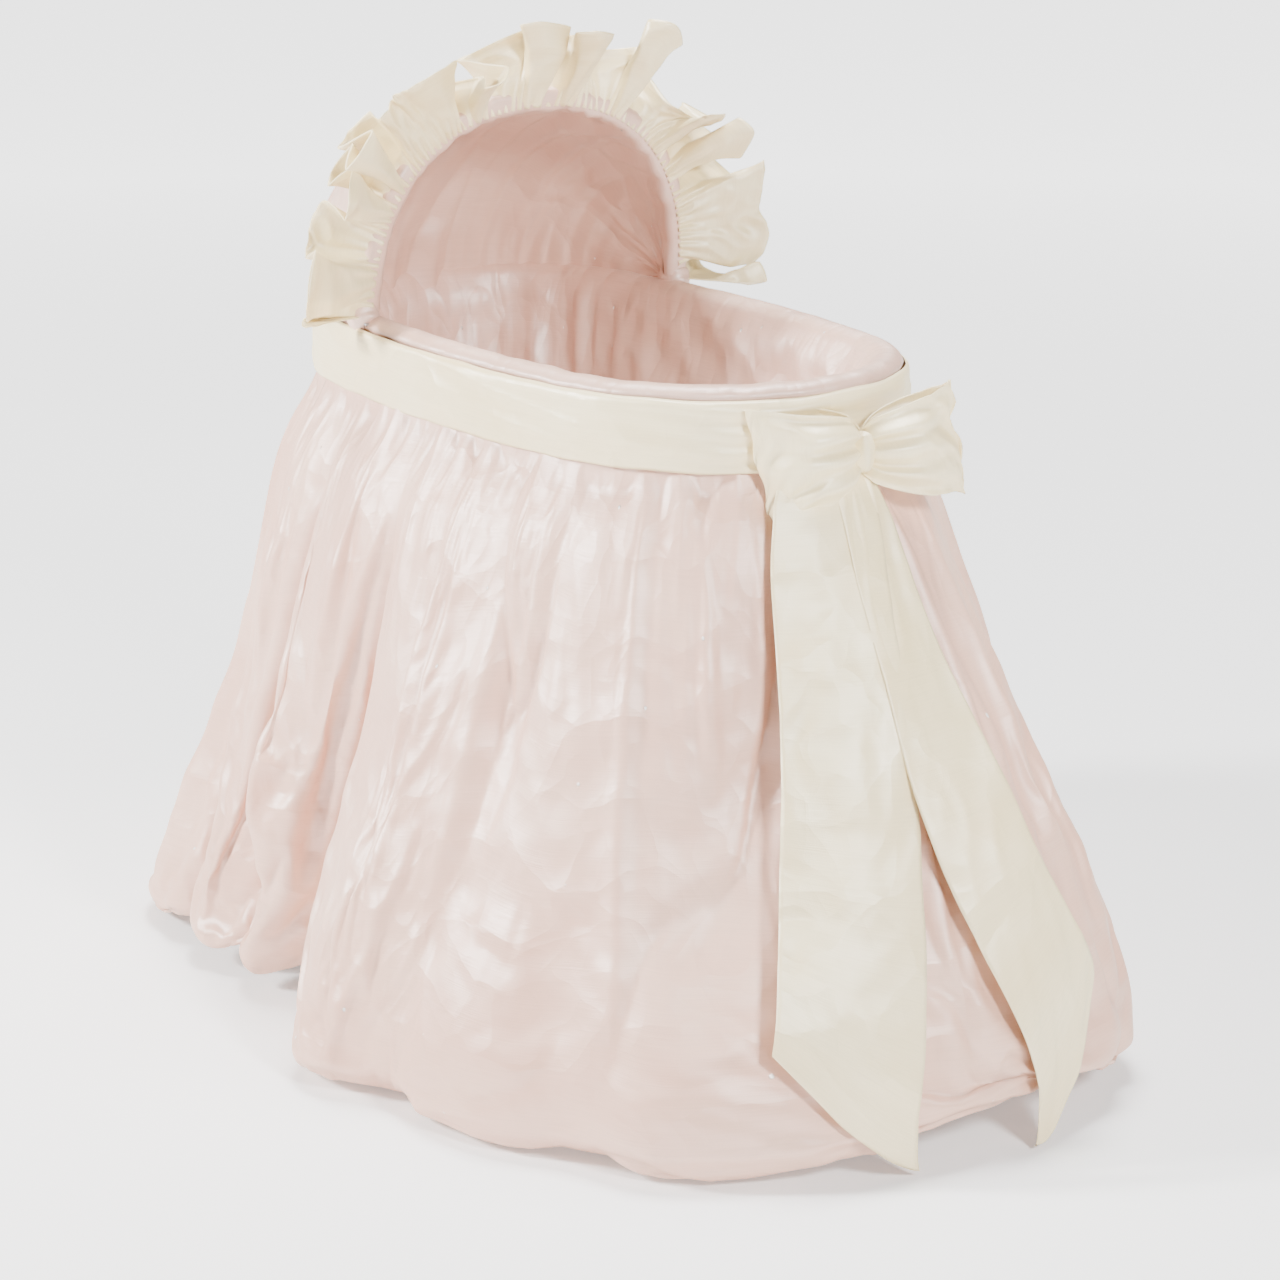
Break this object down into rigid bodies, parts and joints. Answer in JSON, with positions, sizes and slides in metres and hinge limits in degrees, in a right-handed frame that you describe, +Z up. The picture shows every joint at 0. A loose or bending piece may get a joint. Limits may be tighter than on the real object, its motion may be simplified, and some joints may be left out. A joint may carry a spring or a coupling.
{
  "type": "bassinet on stand",
  "caption": "Oval bassinet with a folding ruffled hood, padded lining, tied sash and floor-length gathered skirt, on a wooden stand with casters.",
  "frame": {"origin": "on the floor, under the middle of the oval basket", "axes": "+X towards the foot end with the bow, -X towards the hooded head end, +Y to the left of someone at the head end facing the foot end, +Z up"},
  "size_m": [1.2833, 0.903, 1.0297],
  "materials": {
    "stand_wood": "white painted, satin",
    "zinc_steel": "bright zinc",
    "wheel_rubber": "matt",
    "pedal_plastic": "matt",
    "plywood": "sanded birch",
    "wicker": "natural woven willow",
    "pink_silk_lining": "padded slubbed silk, soft sheen",
    "pink_silk_skirt": "crisp slubbed silk with a satin sheen and small raised dots",
    "sheet_cotton": "plain woven cotton",
    "lining_cotton": "plain woven lining",
    "ivory_silk": "ivory slubbed silk, satin sheen",
    "sprung_wire": "drawn wire",
    "white_tape": "cotton tape"
  },
  "bodies": {
    "stand": {"shelf_board": "stand_wood", "rail_bolts": "zinc_steel", "caster_sockets": "zinc_steel", "leg_foot_left": "stand_wood", "leg_foot_right": "stand_wood", "leg_head_left": "stand_wood", "leg_head_right": "stand_wood", "upper_side_rail_left": "stand_wood", "upper_side_rail_right": "stand_wood", "upper_end_rail_foot": "stand_wood", "upper_end_rail_head": "stand_wood", "lower_side_rail_left": "stand_wood", "lower_side_rail_right": "stand_wood", "lower_end_rail_foot": "stand_wood", "lower_end_rail_head": "stand_wood", "basket_slat_head": "stand_wood", "basket_slat_middle": "stand_wood", "basket_slat_foot": "stand_wood"},
    "basket": {"bottom_board": "plywood", "basket_shell": "wicker", "rim_ring": "wicker", "basket_liner": "pink_silk_lining", "mattress": "sheet_cotton", "skirt": "pink_silk_skirt", "underskirt": "lining_cotton", "sash_band": "ivory_silk", "bow_knot": "ivory_silk", "bow_loop_right": "ivory_silk", "bow_loop_left": "ivory_silk", "sash_tail_right": "ivory_silk", "sash_tail_left": "ivory_silk", "hood_rear_bow": "sprung_wire", "hood_rear_panel": "pink_silk_lining", "hood_bracket_left": "zinc_steel", "hood_bracket_right": "zinc_steel", "hood_pivot_pins": "zinc_steel", "bracket_screws": "zinc_steel", "hood_tabs": "white_tape"},
    "hood_middle": {"hood_middle_bow": "sprung_wire", "hood_middle_panel": "pink_silk_lining"},
    "hood_front": {"hood_front_bow": "sprung_wire", "hood_front_panel": "pink_silk_lining", "hood_ruffle": "ivory_silk"},
    "caster_foot_left": {"caster_fork_foot_left": "zinc_steel", "caster_axle_foot_left": "zinc_steel"},
    "wheel_foot_left": {"caster_wheel_foot_left": "wheel_rubber"},
    "caster_foot_right": {"caster_fork_foot_right": "zinc_steel", "caster_axle_foot_right": "zinc_steel", "brake_pin_foot_right": "zinc_steel"},
    "wheel_foot_right": {"caster_wheel_foot_right": "wheel_rubber"},
    "brake_foot_right": {"brake_pedal_foot_right": "pedal_plastic"},
    "caster_head_left": {"caster_fork_head_left": "zinc_steel", "caster_axle_head_left": "zinc_steel", "brake_pin_head_left": "zinc_steel"},
    "wheel_head_left": {"caster_wheel_head_left": "wheel_rubber"},
    "brake_head_left": {"brake_pedal_head_left": "pedal_plastic"},
    "caster_head_right": {"caster_fork_head_right": "zinc_steel", "caster_axle_head_right": "zinc_steel"},
    "wheel_head_right": {"caster_wheel_head_right": "wheel_rubber"}
  },
  "joints": [
    {"name": "basket_lift", "type": "slide", "parent": "stand", "child": "basket", "axis": [0, 0, 1], "range_m": [0, 0.6]},
    {"name": "hood_fold", "type": "hinge", "parent": "basket", "child": "hood_front", "pos_m": [-0.149, 0, 0.742], "axis": [0, 1, 0], "range_deg": [-61, 0]},
    {"name": "hood_middle_fold", "type": "hinge", "parent": "basket", "child": "hood_middle", "pos_m": [-0.149, 0, 0.742], "axis": [0, 1, 0], "range_deg": [-29, 0]},
    {"name": "caster_swivel_foot_left", "type": "hinge", "parent": "stand", "child": "caster_foot_left", "pos_m": [0.305, 0.165, 0.06], "axis": [0, 0, 1], "continuous": true},
    {"name": "wheel_spin_foot_left", "type": "hinge", "parent": "caster_foot_left", "child": "wheel_foot_left", "pos_m": [0.285, 0.165, 0.025], "axis": [0, 1, 0], "continuous": true},
    {"name": "caster_swivel_foot_right", "type": "hinge", "parent": "stand", "child": "caster_foot_right", "pos_m": [0.305, -0.165, 0.06], "axis": [0, 0, 1], "continuous": true},
    {"name": "wheel_spin_foot_right", "type": "hinge", "parent": "caster_foot_right", "child": "wheel_foot_right", "pos_m": [0.285, -0.165, 0.025], "axis": [0, 1, 0], "continuous": true},
    {"name": "brake_press_foot_right", "type": "hinge", "parent": "caster_foot_right", "child": "brake_foot_right", "pos_m": [0.267, -0.165, 0.05], "axis": [0, 1, 0], "range_deg": [-24, 0]},
    {"name": "caster_swivel_head_left", "type": "hinge", "parent": "stand", "child": "caster_head_left", "pos_m": [-0.305, 0.165, 0.06], "axis": [0, 0, 1], "continuous": true},
    {"name": "wheel_spin_head_left", "type": "hinge", "parent": "caster_head_left", "child": "wheel_head_left", "pos_m": [-0.325, 0.165, 0.025], "axis": [0, 1, 0], "continuous": true},
    {"name": "brake_press_head_left", "type": "hinge", "parent": "caster_head_left", "child": "brake_head_left", "pos_m": [-0.343, 0.165, 0.05], "axis": [0, 1, 0], "range_deg": [-24, 0]},
    {"name": "caster_swivel_head_right", "type": "hinge", "parent": "stand", "child": "caster_head_right", "pos_m": [-0.305, -0.165, 0.06], "axis": [0, 0, 1], "continuous": true},
    {"name": "wheel_spin_head_right", "type": "hinge", "parent": "caster_head_right", "child": "wheel_head_right", "pos_m": [-0.325, -0.165, 0.025], "axis": [0, 1, 0], "continuous": true}
  ],
  "couplings": [
    {"joint": "hood_middle_fold", "follows": "hood_fold", "ratio": 0.4754}
  ]
}
